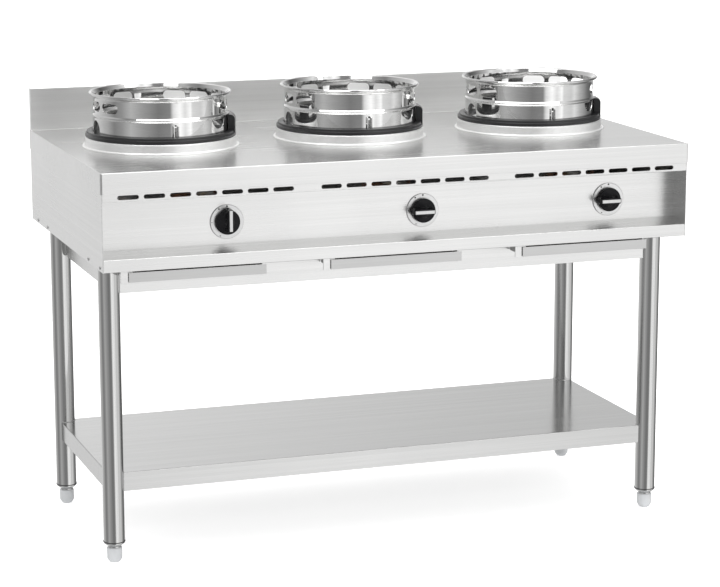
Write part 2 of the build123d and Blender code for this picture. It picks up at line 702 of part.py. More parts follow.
# ---------------------------------------------------------------- gas pieces
def gas_manifold():
    """Supply pipe below the valves, with an elbow block at its right end."""
    x0, x1 = KNOB_XS[0] - VALVE_WIDTH, INLET_X
    pipe = bar_x(MANIFOLD_Y, MANIFOLD_Z, x0, x1, MANIFOLD_RADIUS)
    pipe -= bar_x(MANIFOLD_Y, MANIFOLD_Z, x0 + MANIFOLD_WALL, x1,
                  MANIFOLD_RADIUS - MANIFOLD_WALL)
    half = ELBOW_SIDE / 2
    elbow = slab(INLET_X - half, INLET_X + half, MANIFOLD_Y - half, MANIFOLD_Y + half,
                 MANIFOLD_Z - half, MANIFOLD_Z + half)
    elbow -= bar_x(MANIFOLD_Y, MANIFOLD_Z, INLET_X - half, INLET_X,
                   MANIFOLD_RADIUS - MANIFOLD_WALL)
    elbow -= bar_y(INLET_X, MANIFOLD_Z, MANIFOLD_Y, MANIFOLD_Y + half,
                   INLET_RADIUS - INLET_WALL)
    return pipe - slab(INLET_X - half, INLET_X + half, MANIFOLD_Y - half, MANIFOLD_Y + half,
                       MANIFOLD_Z - half, MANIFOLD_Z + half) + elbow


def inlet_pipe():
    """Gas inlet pipe out through the back panel, with its lock nut, open at its end."""
    y0 = MANIFOLD_Y + ELBOW_SIDE / 2
    pipe = bar_y(INLET_X, MANIFOLD_Z, y0, INLET_END_Y, INLET_RADIUS)
    nut = Plane(origin=(INLET_X, BACK_PANEL_Y, MANIFOLD_Z), z_dir=(0, 1, 0))
    pipe += extrude(nut * RegularPolygon(LOCKNUT_RADIUS, 6), LOCKNUT_THICK)
    return pipe - bar_y(INLET_X, MANIFOLD_Z, y0 - 1, INLET_END_Y + 1,
                        INLET_RADIUS - INLET_WALL)


def gas_valve(x):
    """Valve block behind the control panel, bored for its spindle."""
    half = VALVE_WIDTH / 2
    block = slab(x - half, x + half, PANEL_BACK_Y, VALVE_BACK_Y,
                 KNOB_Z - VALVE_HEIGHT / 2, KNOB_Z + VALVE_HEIGHT / 2)
    block = fillet(block.edges().filter_by(Axis.Y), 3.0)
    depth = SPINDLE_IN_VALVE + PUSH_TRAVEL + TOUCH
    return block - bar_y(x, KNOB_Z, PANEL_BACK_Y - 1, PANEL_BACK_Y + depth,
                         SPINDLE_RADIUS + TOUCH)


def feed_pipe(x, burner_x):
    """Bent pipe from a valve up to the mouth of its burner's mixing tube."""
    y0 = VALVE_BACK_Y
    y1 = y0 + FEED_RUN
    y2 = BURNER_Y - TUBE_LENGTH
    route = FilletPolyline((x, y0, KNOB_Z), (x, y1, KNOB_Z), (x, y1, TUBE_Z),
                           (burner_x, y1, TUBE_Z), (burner_x, y2, TUBE_Z), radius=FEED_BEND)
    start = Plane(origin=(x, y0, KNOB_Z), z_dir=(0, 1, 0))
    pipe = sweep(start * Circle(FEED_RADIUS), path=route)
    nozzle = bar_y(burner_x, TUBE_Z, y2 - 6.0, y2, TUBE_RADIUS)
    return pipe + nozzle


# ---------------------------------------------------------------- knob pieces
def dial_plate(x):
    """Round plate round a knob, on the control panel."""
    plate = bar_y(x, KNOB_Z, PANEL_Y - DIAL_THICK, PANEL_Y, DIAL_RADIUS)
    rim = plate.faces().sort_by(Axis.Y)[0].edges()
    plate = fillet(rim, 1.2)
    return plate - bar_y(x, KNOB_Z, PANEL_Y - DIAL_THICK - 1, PANEL_Y + 1, PANEL_HOLE_RADIUS)


def spindle(x):
    """Valve spindle from inside the valve to inside the knob."""
    return bar_y(x, KNOB_Z, KNOB_BACK_Y - SPINDLE_IN_KNOB + PUSH_TRAVEL / 2,
                 PANEL_BACK_Y + SPINDLE_IN_VALVE, SPINDLE_RADIUS)


def bar_blank():
    """The strip's block, which also cuts its groove in the grip."""
    y0 = GRIP_FACE_Y - BAR_PROUD
    return slab(-BAR_WIDTH / 2, BAR_WIDTH / 2, y0, y0 + BAR_THICK,
                -BAR_TAIL, GRIP_NOSE - BAR_END_MARGIN)


def knob():
    """Round knob with a grip across it and a pointer, drawn pointing up."""
    base = bar_y(0, 0, KNOB_FACE_Y, KNOB_BACK_Y, KNOB_RADIUS)
    base = fillet(base.faces().sort_by(Axis.Y)[0].edges(), 2.0)
    grip = slab(-GRIP_WIDTH / 2, GRIP_WIDTH / 2, GRIP_FACE_Y, KNOB_FACE_Y + 4.0,
                -GRIP_TAIL, GRIP_NOSE)
    grip = fillet(grip.edges().filter_by(Axis.Y), 3.0)
    grip = fillet(grip.faces().sort_by(Axis.Y)[0].edges(), 1.5)
    grip -= bar_blank()
    pointer = slab(-POINTER_WIDTH / 2, POINTER_WIDTH / 2, KNOB_BACK_Y - 7.0, KNOB_BACK_Y,
                   KNOB_RADIUS - 3.0, KNOB_RADIUS + POINTER_REACH)
    socket = bar_y(0, 0, KNOB_BACK_Y - SPINDLE_IN_KNOB, KNOB_BACK_Y + 1,
                   SPINDLE_RADIUS + TOUCH)
    return base + grip + pointer - socket


def grip_bar():
    """Bright strip let into the top of the knob's grip."""
    bar = bar_blank()
    return fillet(bar.faces().sort_by(Axis.Y)[0].edges(), 0.6)


def turned(piece, x, angle):
    """Set a knob's piece on its axis, turned anticlockwise seen from the front."""
    return Pos(x, 0, KNOB_Z) * Rot(0, -angle, 0) * piece


# ---------------------------------------------------------------- tray pieces
def drip_tray(x):
    """Shallow tray with a pull lip at its front."""
    half = TRAY_WIDTH / 2
    y0 = FACE_Y + SHEET
    y1 = y0 + TRAY_DEPTH
    tray = slab(x - half, x + half, y0, y1, TRAY_Z, TRAY_Z + TRAY_WALL_HEIGHT)
    tray -= slab(x - half + SHEET, x + half - SHEET, y0 + SHEET, y1 - SHEET,
                 TRAY_Z + SHEET, TRAY_Z + TRAY_WALL_HEIGHT)
    lip_z = BODY_Z - LIP_GAP - LIP_HEIGHT
    lip = slab(x - LIP_WIDTH / 2, x + LIP_WIDTH / 2, FACE_Y, y0, lip_z, lip_z + LIP_HEIGHT)
    return tray + lip


def tray_runners(x):
    """Pair of angle rails that carry one drip tray; the left one has a front tab."""
    y0 = FACE_Y + 2 * SHEET + TOUCH
    y1 = FACE_Y + SHEET + TRAY_DEPTH
    rails = []
    for side in (-1, 1):
        web = x + side * RUNNER_X
        rail = slab(web, web + side * SHEET, y0, y1, RUNNER_Z, BODY_Z)
        rail += slab(web, web - side * RUNNER_FLANGE, y0 + SHEET, y1, RUNNER_Z,
                     RUNNER_Z + SHEET)
        if side < 0:
            rail += slab(web, web - RUNNER_TAB, y0, y0 + SHEET, RUNNER_Z, BODY_Z)
        rails.append(rail)
    return rails


# ---------------------------------------------------------------- build
def station_names():
    """Names of the burner stations, from left to right."""
    return ("left", "middle", "right")


def build():
    os.makedirs("parts", exist_ok=True)
    write("worktop", worktop())
    write("backsplash", backsplash())
    write("side_panel_left", side_panel(-1))
    write("side_panel_right", side_panel(1))
    write("back_panel", back_panel())
    write("vent_rail", vent_rail())
    write("control_panel", control_panel())
    write("front_rail", front_rail())
    write("base_pan", base_pan())
    write("side_screws", *side_screws())

    write("leg_rails", *leg_rails())
    write("leg_plates", *leg_plates())
    write("undershelf", undershelf())
    write("shelf_stiffener", shelf_stiffener())
    write("foot_seals", *[foot_seal(x, y) for x, y in LEG_PLACES.values()])
    write("foot_collars", *[foot_collar(x, y) for x, y in LEG_PLACES.values()])
    for corner, (x, y) in LEG_PLACES.items():
        write(f"leg_{corner}", leg(x, y))
        write(f"foot_{corner}", foot(x, y))

    base, seat, ring, cap = burner_base(), ring_seat(), wok_ring(), burner_cap()
    pad, strip = knob(), grip_bar()
    rest = zip(station_names(), BURNER_XS, KNOB_XS, TRAY_XS, KNOB_REST_ANGLES)
    for place, x, knob_x, tray_x, angle in rest:
        write(f"burner_base_{place}", Pos(x, BURNER_Y, 0) * base)
        write(f"ring_seat_{place}", Pos(x, BURNER_Y, 0) * seat)
        write(f"wok_ring_{place}", Pos(x, BURNER_Y, 0) * ring)
        write(f"burner_{place}", burner_casting(x))
        write(f"spindle_{place}", spindle(knob_x))
        write(f"knob_{place}", turned(pad, knob_x, angle))
        write(f"grip_bar_{place}", turned(strip, knob_x, angle))
        write(f"drip_tray_{place}", drip_tray(tray_x))
    write("burner_caps", *[Pos(x, BURNER_Y, 0) * cap for x in BURNER_XS])
    write("burner_stands", *[burner_stand(x) for x in BURNER_XS])
    write("pilot_burners", *[pilot_burner(x) for x in BURNER_XS])
    write("thermocouples", *[thermocouple(x) for x in BURNER_XS])

    write("gas_manifold", gas_manifold())
    write("inlet_pipe", inlet_pipe())
    write("gas_valves", *[gas_valve(x) for x in KNOB_XS])
    write("feed_pipes", *[feed_pipe(k, b) for k, b in zip(KNOB_XS, BURNER_XS)])
    write("dial_plates", *[dial_plate(x) for x in KNOB_XS])
    write("tray_runners", *[rail for x in TRAY_XS for rail in tray_runners(x)])


build()
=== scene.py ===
import math

import bmesh
import bpy
from mathutils import Matrix, Vector


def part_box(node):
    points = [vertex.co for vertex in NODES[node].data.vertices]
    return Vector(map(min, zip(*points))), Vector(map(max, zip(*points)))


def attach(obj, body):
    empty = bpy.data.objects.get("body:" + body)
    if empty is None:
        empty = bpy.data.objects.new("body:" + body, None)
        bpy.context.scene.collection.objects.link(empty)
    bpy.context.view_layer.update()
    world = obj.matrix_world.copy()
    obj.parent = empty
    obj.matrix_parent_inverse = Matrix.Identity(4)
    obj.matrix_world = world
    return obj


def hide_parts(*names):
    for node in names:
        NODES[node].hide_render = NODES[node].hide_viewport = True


bl_info = {
    "name": "Wok range finish",
    "version": (1, 0, 0),
    "blender": (4, 5, 0),
    "location": "View3D > Sidebar > Wok range",
    "description": "Finishes, trim and studio for a three-burner wok range",
    "category": "Object",
}

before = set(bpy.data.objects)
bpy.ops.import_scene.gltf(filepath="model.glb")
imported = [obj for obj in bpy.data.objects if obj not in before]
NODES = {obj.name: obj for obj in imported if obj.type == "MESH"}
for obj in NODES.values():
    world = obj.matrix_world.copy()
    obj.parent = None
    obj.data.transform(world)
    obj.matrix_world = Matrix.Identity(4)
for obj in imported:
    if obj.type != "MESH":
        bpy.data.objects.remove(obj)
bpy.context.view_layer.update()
PLACES = ("left", "middle", "right")
CORNERS = ("front_left", "front_right", "back_left", "back_right")
# Knobs' rest angles, anticlockwise from straight up, seen from the front.
KNOB_ANGLES = (0.0, math.pi / 2, math.pi / 2)

# How far the disc's face, near its rim, stands before the knob's back.
KNOB_SKIRT = 0.005
KNOB_STEPS = 96
# Disc's outline from back to front: (radius, height over the face).
DISC_PROFILE = (
    (0.0040, -0.0045), (0.0243, -0.0050), (0.0255, -0.0042), (0.0258, -0.0030), (0.0258, -0.0016),
    (0.0254, -0.0006), (0.0245, 0.0), (0.0215, 0.0006), (0.0170, 0.0022), (0.0120, 0.0058),
    (0.0085, 0.0110), (0.0070, 0.0150), (0.0040, 0.0160))
# The pointer's cuts: (distance from the knob's axis, half width, rise over the knob's back).
POINTER_CUTS = ((0.0235, 0.0046, 0.0085), (0.0262, 0.0042, 0.0080),
                (0.0285, 0.0028, 0.0066), (0.0298, 0.0014, 0.0050))
# Dots printed on each dial plate: (degrees anticlockwise from straight up, dot's radius).
DIAL_DOTS = ((0, 0.0019), (32, 0.0017), (90, 0.0010), (152, 0.0012))
DOT_STEPS = 20
# Screw head and its round socket: (radius, height over the side panel).
HEAD_PROFILE = ((0.0039, 0.0), (0.0040, 0.0006), (0.0036, 0.0012), (0.0028, 0.0016),
                (0.0018, 0.00175))
SOCKET_PROFILE = ((0.0018, 0.00175), (0.0017, 0.0016), (0.0016, 0.0005))
SCREW_STEPS = 28
# Ring seam's folded edges: (height over the ring's lower edge, how far the fold stands out).
FOLD_CUTS = ((0.0030, 0.0024), (0.0040, 0.0032), (0.0290, 0.0032), (0.0300, 0.0024))
SHARP_ANGLE = math.radians(38.0)

# Greys round the range, by bearing from straight ahead of the front, in degrees to the right.
SCREENS = (
    (-180, 0.78), (-165, 0.60), (-140, 0.50), (-115, 0.34), (-100, 0.20), (-84, 0.26), (-66, 0.42),
    (-45, 0.30), (-18, 0.18), (2, 0.22), (7, 0.66), (13, 0.84), (19, 0.98), (25, 0.80), (28, 0.72),
    (38, 0.96), (42, 0.66), (58, 0.58), (66, 0.70), (80, 0.42), (104, 0.16), (120, 0.09),
    (134, 0.30), (150, 0.56), (158, 0.62), (168, 0.80), (179.9, 0.78))
# Greys up the sky: (sine of the elevation, tone).
SKY_TONES = ((0.12, 0.92), (0.35, 0.84), (0.60, 0.95))
HORIZON_TONE = 0.95
GLOSS_STRENGTH = 1.35
# Soft boxes: name, place, aim, width, height, watts, and whether the gloss shows them.
LAMPS = (
    ("overhead", (0.0, -0.4, 4.0), (0.0, 0.0, 0.4), 4.5, 2.6, 95.0, True),
    ("front_box", (-1.5, -6.5, 3.6), (0.0, 0.0, 0.4), 4.0, 1.6, 120.0, False))
# Backdrop: floor's front end, where its bend starts, the bend's radius, the wall's top, half width.
FLOOR_FRONT, BEND_START, BEND_RADIUS, WALL_TOP, BACKDROP_HALF = -9.0, 6.0, 2.0, 7.0, 12.0
BEND_STEPS = 12


# ------------------------------------------------------------------ settings
class FinishSettings(bpy.types.PropertyGroup):
    """Colours and roughness of the range's materials"""
    steel_colour: bpy.props.FloatVectorProperty(
        name="Steel colour", description="Colour of the brushed steel sheet",
        default=(0.80, 0.80, 0.795), size=3, min=0, max=1, subtype="COLOR")
    polished_colour: bpy.props.FloatVectorProperty(
        name="Polished colour", description="Colour of the polished steel",
        default=(0.68, 0.68, 0.675), size=3, min=0, max=1, subtype="COLOR")
    sheet_roughness: bpy.props.FloatProperty(
        name="Sheet roughness", description="Roughness of the brushed sheet",
        default=0.26, min=0, max=1, subtype="FACTOR")
    polished_roughness: bpy.props.FloatProperty(
        name="Polished roughness", description="Roughness of the polished steel",
        default=0.12, min=0, max=1, subtype="FACTOR")
    enamel_colour: bpy.props.FloatVectorProperty(
        name="Enamel colour", description="Colour of the dark ring seats",
        default=(0.012, 0.012, 0.013), size=3, min=0, max=1, subtype="COLOR")
    knob_colour: bpy.props.FloatVectorProperty(
        name="Knob colour", description="Colour of the moulded knobs",
        default=(0.010, 0.010, 0.011), size=3, min=0, max=1, subtype="COLOR")
    foot_colour: bpy.props.FloatVectorProperty(
        name="Foot colour", description="Colour of the moulded feet",
        default=(0.46, 0.47, 0.48), size=3, min=0, max=1, subtype="COLOR")
    edge_radius: bpy.props.FloatProperty(
        name="Edge radius", description="How far the sheet's edges look rounded",
        default=0.0009, min=0, max=0.01, unit="LENGTH")


class DetailSettings(bpy.types.PropertyGroup):
    """Sizes of the pieces that dress the solids"""
    grip_tail: bpy.props.FloatProperty(
        name="Grip tail", description="Knob's axis to the blunt end of its grip",
        default=0.0182, min=0, unit="LENGTH")
    grip_nose: bpy.props.FloatProperty(
        name="Grip nose", description="Knob's axis to the narrow end of its grip",
        default=0.0282, min=0, unit="LENGTH")
    grip_half: bpy.props.FloatProperty(
        name="Grip half width", description="Half the width of the grip's crown",
        default=0.0064, min=0, unit="LENGTH")
    grip_flare: bpy.props.FloatProperty(
        name="Grip flare", description="How far the hollow flanks spread at the disc",
        default=0.0085, min=0, unit="LENGTH")
    dot_circle: bpy.props.FloatProperty(
        name="Dot circle", description="Radius of the circle that the dial's dots lie on",
        default=0.0325, min=0, unit="LENGTH")
    screw_rise: bpy.props.FloatProperty(
        name="Screw rise", description="How far a screw's head stands out from the side",
        default=0.0018, min=0, unit="LENGTH")
    leg_bead: bpy.props.FloatProperty(
        name="Leg bead", description="Radius of the upright weld beads at the legs",
        default=0.0011, min=0, unit="LENGTH")
    shelf_bead: bpy.props.FloatProperty(
        name="Shelf bead", description="Radius of the weld beads round the legs on the shelf",
        default=0.0010, min=0, unit="LENGTH")
    seam_angle: bpy.props.FloatProperty(
        name="Seam angle", description="Bearing of a wok ring's seam round its axis",
        default=math.radians(268.0), subtype="ANGLE")
    seam_half: bpy.props.FloatProperty(
        name="Seam half angle", description="Seam's middle to the foot of a folded edge",
        default=0.024, min=0, subtype="ANGLE")
    seam_radius: bpy.props.FloatProperty(
        name="Seam radius", description="Ring's axis to the foot of a folded edge",
        default=0.1449, min=0, unit="LENGTH")


class StudioSettings(bpy.types.PropertyGroup):
    """Camera and backdrop"""
    yaw: bpy.props.FloatProperty(
        name="Yaw", description="Camera's turn to the right of straight back",
        default=0.33336, subtype="ANGLE")
    pitch: bpy.props.FloatProperty(
        name="Pitch", description="Camera's tilt down", default=0.20132, subtype="ANGLE")
    roll: bpy.props.FloatProperty(
        name="Roll", description="Camera's roll", default=-0.00124, subtype="ANGLE")
    eye: bpy.props.FloatVectorProperty(
        name="Eye", description="Camera's place", default=(-1.7348, -5.0638, 1.5780),
        size=3, subtype="TRANSLATION")
    lens: bpy.props.FloatProperty(
        name="Lens", description="Focal length in millimetres", default=122.07, min=1)
    backdrop_colour: bpy.props.FloatVectorProperty(
        name="Backdrop colour", description="Colour of the floor and the wall behind",
        default=(0.90, 0.90, 0.90), size=3, min=0, max=1, subtype="COLOR")


# ------------------------------------------------------------------ node helpers
def new_tree(name):
    """An empty material's tree with its output."""
    material = bpy.data.materials.new(name)
    material.use_nodes = True
    tree = material.node_tree
    tree.nodes.clear()
    output = tree.nodes.new("ShaderNodeOutputMaterial")
    return material, tree, output


def node(tree, kind, links=None, **values):
    """A node with its settings and links in one call."""
    made = tree.nodes.new(kind)
    for key, value in values.items():
        setattr(made, key, value)
    for socket, source in (links or {}).items():
        target = made.inputs[socket]
        if isinstance(source, bpy.types.NodeSocket):
            tree.links.new(source, target)
        else:
            target.default_value = source
    return made


def group_tree(name, inputs, outputs):
    """An empty node group with named sockets."""
    tree = bpy.data.node_groups.new(name, "ShaderNodeTree")
    for label, kind, default in inputs:
        socket = tree.interface.new_socket(label, in_out="INPUT", socket_type=kind)
        socket.default_value = default
    for label, kind in outputs:
        tree.interface.new_socket(label, in_out="OUTPUT", socket_type=kind)
    return tree, tree.nodes.new("NodeGroupInput"), tree.nodes.new("NodeGroupOutput")


def grain_group():
    """Fine parallel brush lines, long one way and narrow the other two."""
    name = "Brushed grain"
    if name in bpy.data.node_groups:
        return bpy.data.node_groups[name]
    tree, enter, leave = group_tree(name, [
        ("Stretch", "NodeSocketVector", (4.0, 700.0, 700.0)),
        ("Depth", "NodeSocketFloat", 1.0),
        ("Roughness", "NodeSocketFloat", 0.25),
        ("Roughness change", "NodeSocketFloat", 0.10),
    ], [("Line", "NodeSocketFloat"), ("Roughness", "NodeSocketFloat"),
        ("Height", "NodeSocketFloat")])
    place = node(tree, "ShaderNodeTexCoord")
    scaled = node(tree, "ShaderNodeVectorMath", {
        0: place.outputs["Object"], 1: enter.outputs["Stretch"]}, operation="MULTIPLY")
    fine = node(tree, "ShaderNodeTexNoise", {"Vector": scaled.outputs[0], "Scale": 1.0,
                                             "Detail": 2.5, "Roughness": 0.6})
    coarse_place = node(tree, "ShaderNodeVectorMath", {0: scaled.outputs[0], 1: (0.35, 0.12, 0.12)},
                        operation="MULTIPLY")
    coarse = node(tree, "ShaderNodeTexNoise", {"Vector": coarse_place.outputs[0], "Scale": 1.0,
                                               "Detail": 1.5, "Roughness": 0.5})
    both = node(tree, "ShaderNodeMath", {0: fine.outputs["Fac"], 1: coarse.outputs["Fac"]},
                operation="ADD")
    line = node(tree, "ShaderNodeMath", {0: both.outputs[0], 1: 0.5}, operation="MULTIPLY")
    away = node(tree, "ShaderNodeMath", {0: line.outputs[0], 1: 0.5}, operation="SUBTRACT")
    change = node(tree, "ShaderNodeMath", {0: away.outputs[0], 1: enter.outputs["Roughness change"],
                                           2: enter.outputs["Roughness"]}, operation="MULTIPLY_ADD")
    height = node(tree, "ShaderNodeMath", {0: line.outputs[0], 1: enter.outputs["Depth"]},
                  operation="MULTIPLY")
    tree.links.new(line.outputs[0], leave.inputs["Line"])
    tree.links.new(change.outputs[0], leave.inputs["Roughness"])
    tree.links.new(height.outputs[0], leave.inputs["Height"])
    return tree


def smudge_group():
    """Soft clouds of wiping and handling, as a mask round one half."""
    name = "Wipe marks"
    if name in bpy.data.node_groups:
        return bpy.data.node_groups[name]
    tree, enter, leave = group_tree(name, [
        ("Size", "NodeSocketFloat", 6.0),
        ("Stretch", "NodeSocketVector", (1.0, 1.0, 1.0)),
    ], [("Mask", "NodeSocketFloat")])
    place = node(tree, "ShaderNodeTexCoord")
    scaled = node(tree, "ShaderNodeVectorMath", {
        0: place.outputs["Object"], 1: enter.outputs["Stretch"]}, operation="MULTIPLY")
    clouds = node(tree, "ShaderNodeTexNoise", {
        "Vector": scaled.outputs[0], "Scale": enter.outputs["Size"], "Detail": 3.0, "Roughness": 0.55})
    shaped = node(tree, "ShaderNodeMapRange", {"Value": clouds.outputs["Fac"], "From Min": 0.3,
                                               "From Max": 0.7}, interpolation_type="SMOOTHSTEP")
    tree.links.new(shaped.outputs["Result"], leave.inputs["Mask"])
    return tree


def use_group(tree, made, **values):
    """A group placed in a material with its own values."""
    placed = tree.nodes.new("ShaderNodeGroup")
    placed.node_tree = made
    for key, value in values.items():
        placed.inputs[key.replace("_", " ")].default_value = value
    return placed


def steel(name, colour, roughness, stretch, change, bump, smudge, edge=0.0, metal=1.0):
    """Steel sheet with brush lines, wipe marks and softened edges."""
    material, tree, output = new_tree(name)
    grain = use_group(tree, grain_group(), Stretch=stretch, Roughness=roughness,
                      Roughness_change=change)
    wiped = use_group(tree, smudge_group(), Size=5.0)
    centred = node(tree, "ShaderNodeMath", {0: wiped.outputs["Mask"], 1: 0.5}, operation="SUBTRACT")
    rough = node(tree, "ShaderNodeMath", {
        0: centred.outputs[0], 1: smudge, 2: grain.outputs["Roughness"]},
        operation="MULTIPLY_ADD", use_clamp=True)
    tone = node(tree, "ShaderNodeMapRange", {"Value": grain.outputs["Line"], "From Min": 0.3,
                                             "From Max": 0.7, "To Min": 0.93, "To Max": 1.05})
    dyed = node(tree, "ShaderNodeVectorMath", {0: tuple(colour), 3: 1.0}, operation="SCALE")
    tree.links.new(tone.outputs["Result"], dyed.inputs["Scale"])
    height = node(tree, "ShaderNodeBump", {"Strength": bump, "Distance": 0.001,
                                           "Height": grain.outputs["Height"]})
    if edge > 0:
        soft = node(tree, "ShaderNodeBevel", {"Radius": edge}, samples=6)
        tree.links.new(soft.outputs["Normal"], height.inputs["Normal"])
    shader = node(tree, "ShaderNodeBsdfPrincipled", {
        "Base Color": dyed.outputs[0], "Roughness": rough.outputs[0], "Metallic": metal,
        "Normal": height.outputs["Normal"]})
    tree.links.new(shader.outputs["BSDF"], output.inputs["Surface"])
    return material


def moulded(name, colour, roughness, coat=0.0, pebble=900.0, bump=0.08, shine=0.5):
    """Moulded plastic or enamel with a fine pebble."""
    material, tree, output = new_tree(name)
    place = node(tree, "ShaderNodeTexCoord")
    fine = node(tree, "ShaderNodeTexNoise", {"Vector": place.outputs["Object"], "Scale": pebble,
                                             "Detail": 2.0, "Roughness": 0.5})
    broad = node(tree, "ShaderNodeTexNoise", {"Vector": place.outputs["Object"], "Scale": 14.0,
                                              "Detail": 3.0, "Roughness": 0.6})
    rough = node(tree, "ShaderNodeMapRange", {"Value": broad.outputs["Fac"], "From Min": 0.3,
                                              "From Max": 0.7, "To Min": roughness * 0.85,
                                              "To Max": roughness * 1.2})
    tone = node(tree, "ShaderNodeMapRange", {"Value": broad.outputs["Fac"], "From Min": 0.3,
                                             "From Max": 0.7, "To Min": 0.9, "To Max": 1.1})
    dyed = node(tree, "ShaderNodeVectorMath", {0: tuple(colour)}, operation="SCALE")
    tree.links.new(tone.outputs["Result"], dyed.inputs["Scale"])
    height = node(tree, "ShaderNodeBump", {"Strength": bump, "Distance": 0.0005,
                                           "Height": fine.outputs["Fac"]})
    shader = node(tree, "ShaderNodeBsdfPrincipled", {
        "Base Color": dyed.outputs[0], "Roughness": rough.outputs["Result"], "Coat Weight": coat,
        "Specular IOR Level": shine,
        "Normal": height.outputs["Normal"]})
    tree.links.new(shader.outputs["BSDF"], output.inputs["Surface"])
    return material


def cast_metal(name, colour, roughness, metallic, lump, bump):
    """Sand-cast or plated metal with a rough skin."""
    material, tree, output = new_tree(name)
    place = node(tree, "ShaderNodeTexCoord")
    skin = node(tree, "ShaderNodeTexNoise", {"Vector": place.outputs["Object"], "Scale": lump,
                                             "Detail": 5.0, "Roughness": 0.65})
    patches = node(tree, "ShaderNodeTexNoise", {"Vector": place.outputs["Object"], "Scale": 22.0,
                                                "Detail": 4.0, "Roughness": 0.6})
    tone = node(tree, "ShaderNodeMapRange", {"Value": patches.outputs["Fac"], "From Min": 0.3,
                                             "From Max": 0.7, "To Min": 0.75, "To Max": 1.25})
    dyed = node(tree, "ShaderNodeVectorMath", {0: tuple(colour)}, operation="SCALE")
    tree.links.new(tone.outputs["Result"], dyed.inputs["Scale"])
    rough = node(tree, "ShaderNodeMapRange", {"Value": skin.outputs["Fac"], "From Min": 0.3,
                                              "From Max": 0.7, "To Min": roughness * 0.8,
                                              "To Max": min(roughness * 1.25, 1.0)})
    height = node(tree, "ShaderNodeBump", {"Strength": bump, "Distance": 0.0008,
                                           "Height": skin.outputs["Fac"]})
    shader = node(tree, "ShaderNodeBsdfPrincipled", {
        "Base Color": dyed.outputs[0], "Roughness": rough.outputs["Result"], "Metallic": metallic,
        "Normal": height.outputs["Normal"]})
    tree.links.new(shader.outputs["BSDF"], output.inputs["Surface"])
    return material


def shade(colour, factor):
    """A colour made lighter or darker."""
    return [channel * factor for channel in colour]


def make_finishes(s):
    """All the range's materials, by name."""
    along_x, along_y, along_z = (3.0, 900.0, 900.0), (900.0, 3.0, 900.0), (900.0, 900.0, 3.0)
    sheet, edge = s.steel_colour, s.edge_radius
    brushed = {"change": 0.08, "bump": 0.02, "smudge": 0.03, "edge": edge}
    satin = {"change": 0.05, "bump": 0.02, "smudge": 0.03}
    return {
        "top": steel("Worktop steel", sheet, s.sheet_roughness, along_x,
                     **{**brushed, "edge": edge * 1.6}),
        "lip": steel("Tray steel", shade(sheet, 0.76), 0.30, along_x, **brushed),
        # Painted light: the backsplash is the same sheet steel, with its colour made 1.2 times lighter
        # to stand in for the bright reflections it shows.
        "splash": steel("Backsplash steel, lightened as painted light", shade(sheet, 1.2), 0.34, along_x,
                        change=0.06, bump=0.015, smudge=0.02, edge=edge),
        "sheet_x": steel("Sheet steel, lines along the front", sheet, s.sheet_roughness, along_x,
                         **brushed),
        "sheet_y": steel("Sheet steel, lines along the side", sheet, s.sheet_roughness, along_y,
                         **brushed),
        # Painted shade: the shelf is the same sheet steel, with its colour darkened to 0.78 so it reads
        # darker down under the worktop.
        "shelf": steel("Shelf steel, darkened as painted shade", shade(sheet, 0.78), 0.16, along_x,
                       **{**brushed, "smudge": 0.04}),
        "plain": steel("Plain inner steel", shade(sheet, 0.85), 0.36, along_x,
                       change=0.08, bump=0.03, smudge=0.1),
        "tube": steel("Polished tube", s.polished_colour, s.polished_roughness, along_z,
                      change=0.05, bump=0.012, smudge=0.03),
        "ring": steel("Polished ring", sheet, 0.045, (60.0, 60.0, 500.0),
                      change=0.02, bump=0.006, smudge=0.01, edge=edge * 0.5),
        # Painted light: the collars are the same sheet steel, with its colour made 1.2 times lighter
        # and the metal share lowered to 0.8 so the white surroundings light them more against their
        # shadow.
        "base": steel("Burner collar steel, lightened as painted light", shade(sheet, 1.2), 0.42, (200.0, 200.0, 900.0),
                      change=0.1, bump=0.02, smudge=0.05, edge=edge, metal=0.8),
        "silver": steel("Satin silver", (0.72, 0.72, 0.72), 0.3, along_z, **satin),
        "dial": steel("Dial plate silver", (0.80, 0.80, 0.80), 0.34, (300.0, 300.0, 300.0),
                      **satin),
        "enamel": moulded("Dark seat enamel", s.enamel_colour, 0.32, coat=0.3, pebble=500.0,
                          bump=0.15),
        "knob": moulded("Knob plastic", s.knob_colour, 0.10, pebble=1400.0, bump=0.02, shine=0.12),
        "foot": moulded("Foot plastic", s.foot_colour, 0.4, bump=0.05),
        "rubber": moulded("Seal rubber", (0.015, 0.015, 0.015), 0.7, pebble=1200.0, bump=0.2),
        "iron": cast_metal("Cast iron", (0.045, 0.044, 0.043), 0.55, metallic=0.5, lump=180.0,
                           bump=0.6),
        "brass": cast_metal("Brass", (0.62, 0.44, 0.18), 0.32, metallic=1.0, lump=90.0, bump=0.05),
        "copper": cast_metal("Copper", (0.65, 0.33, 0.20), 0.3, metallic=1.0, lump=90.0, bump=0.05),
        "zinc": cast_metal("Zinc-plated steel", (0.55, 0.56, 0.57), 0.42, metallic=1.0, lump=120.0,
                           bump=0.12),
    }


